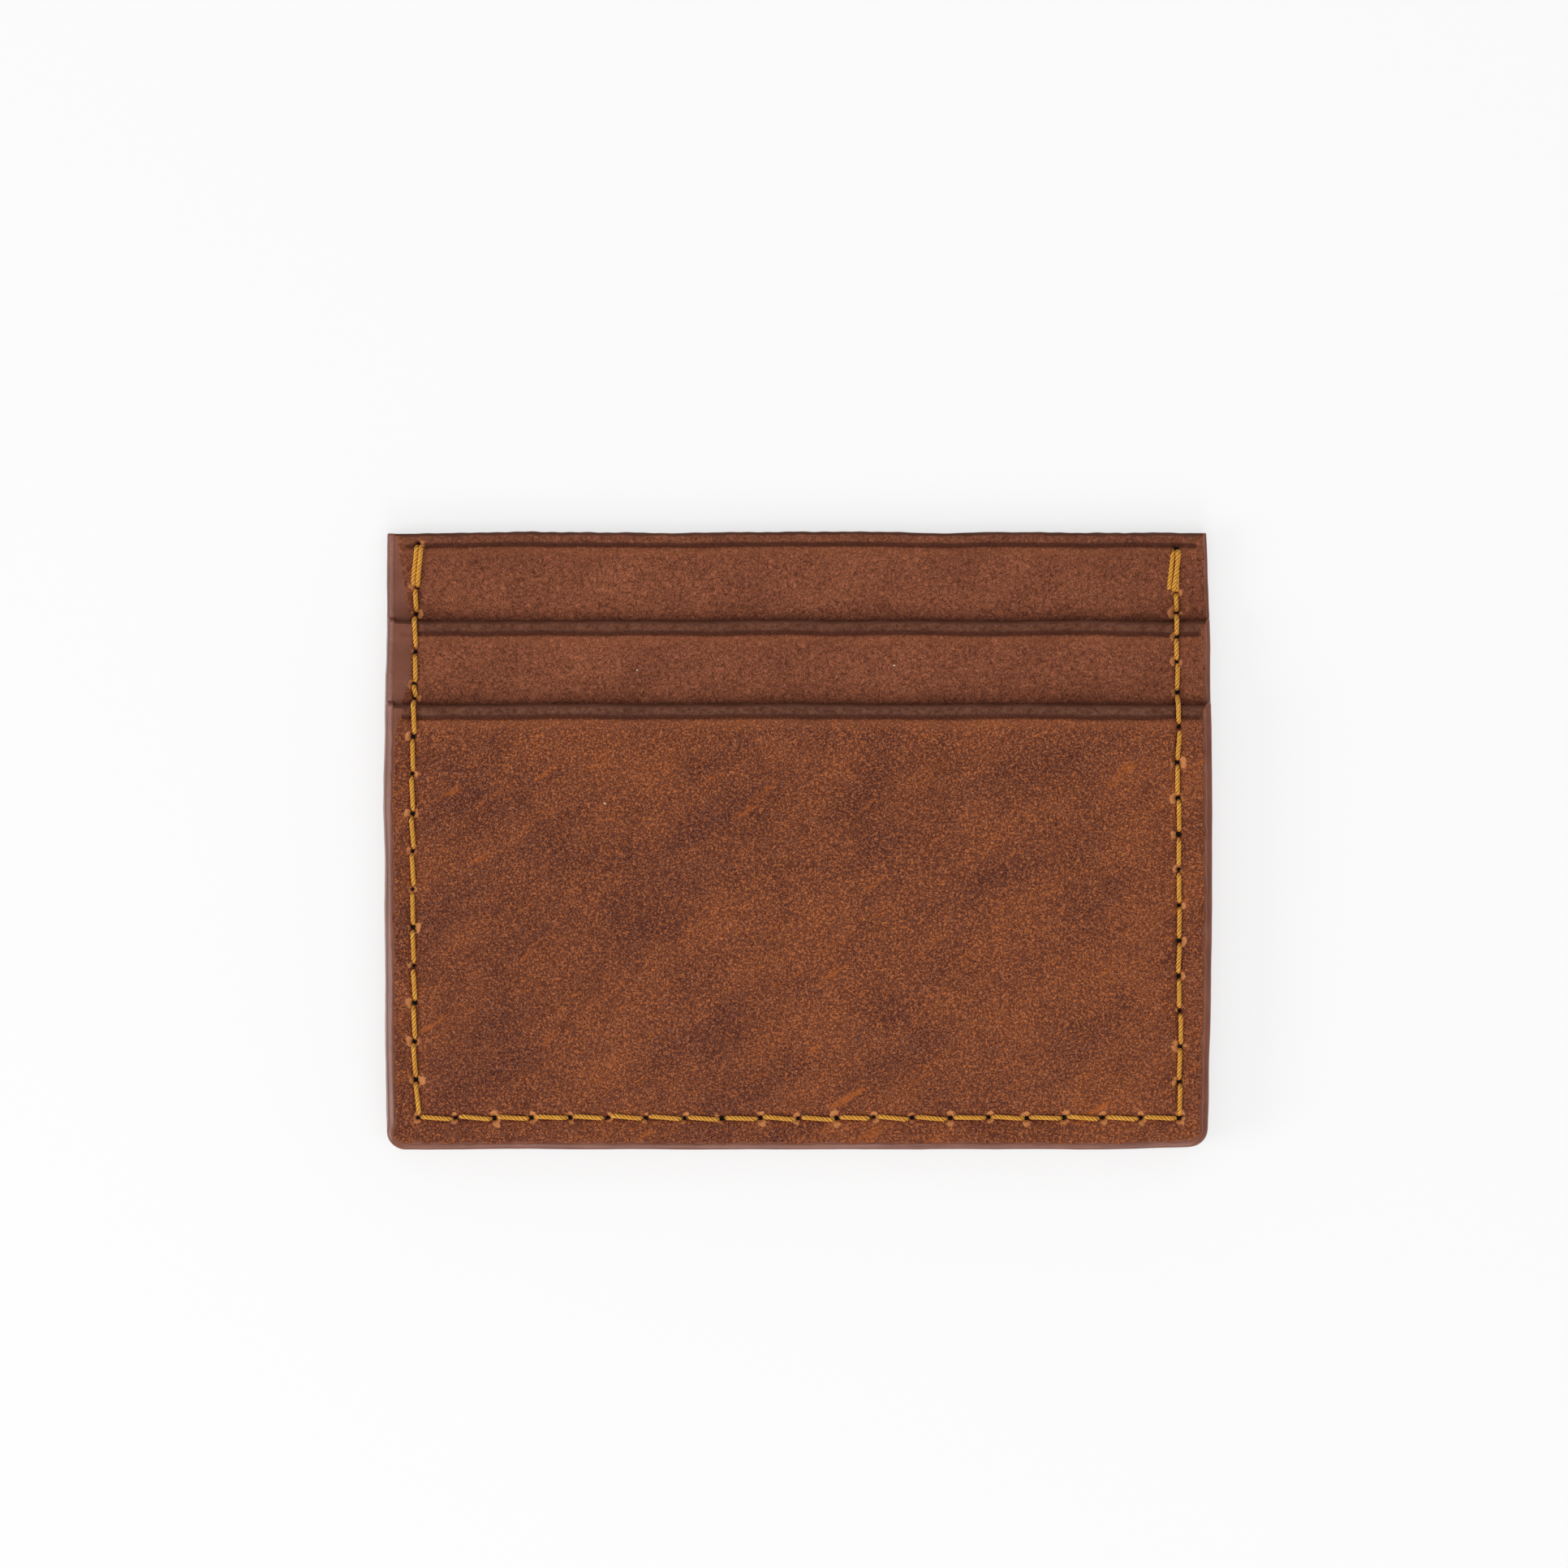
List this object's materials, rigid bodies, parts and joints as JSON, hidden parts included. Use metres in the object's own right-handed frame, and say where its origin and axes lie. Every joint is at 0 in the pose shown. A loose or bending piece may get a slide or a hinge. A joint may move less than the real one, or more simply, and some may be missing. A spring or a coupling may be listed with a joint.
{
  "type": "card holder",
  "caption": "Slim leather card holder: stepped card slots on the front and a centre pocket open at the top, sewn on three sides with painted edges.",
  "frame": {"origin": "middle of the back face, which lies flat on Z = 0, half-way between the bottom edge and the top mouth", "axes": "+X along the width, to the right seen from the front; +Y up from the bottom edge to the mouths; +Z out of the front face"},
  "size_m": [0.1, 0.0746, 0.006],
  "materials": {
    "leather": "waxed pull-up leather, satin",
    "filler_board": "bonded leather, matte",
    "edge_paint": "semi-gloss edge paint",
    "mouth_paint": "satin edge paint",
    "thread": "bonded twisted thread, slight sheen"
  },
  "bodies": {
    "root": {"back_panel": "leather", "front_panel": "leather", "upper_pocket": "leather", "front_pocket": "leather", "centre_filler_left": "filler_board", "centre_filler_right": "filler_board", "centre_filler_bottom": "filler_board", "upper_filler_left": "filler_board", "upper_filler_right": "filler_board", "upper_filler_bottom": "filler_board", "lower_filler_left": "filler_board", "lower_filler_right": "filler_board", "lower_filler_bottom": "filler_board", "back_mouth_paint": "mouth_paint", "front_mouth_paint": "mouth_paint", "upper_mouth_paint": "mouth_paint", "pocket_mouth_paint": "mouth_paint", "edge_paint": "edge_paint", "needle_thread": "thread", "bobbin_thread": "thread"}
  },
  "joints": []
}
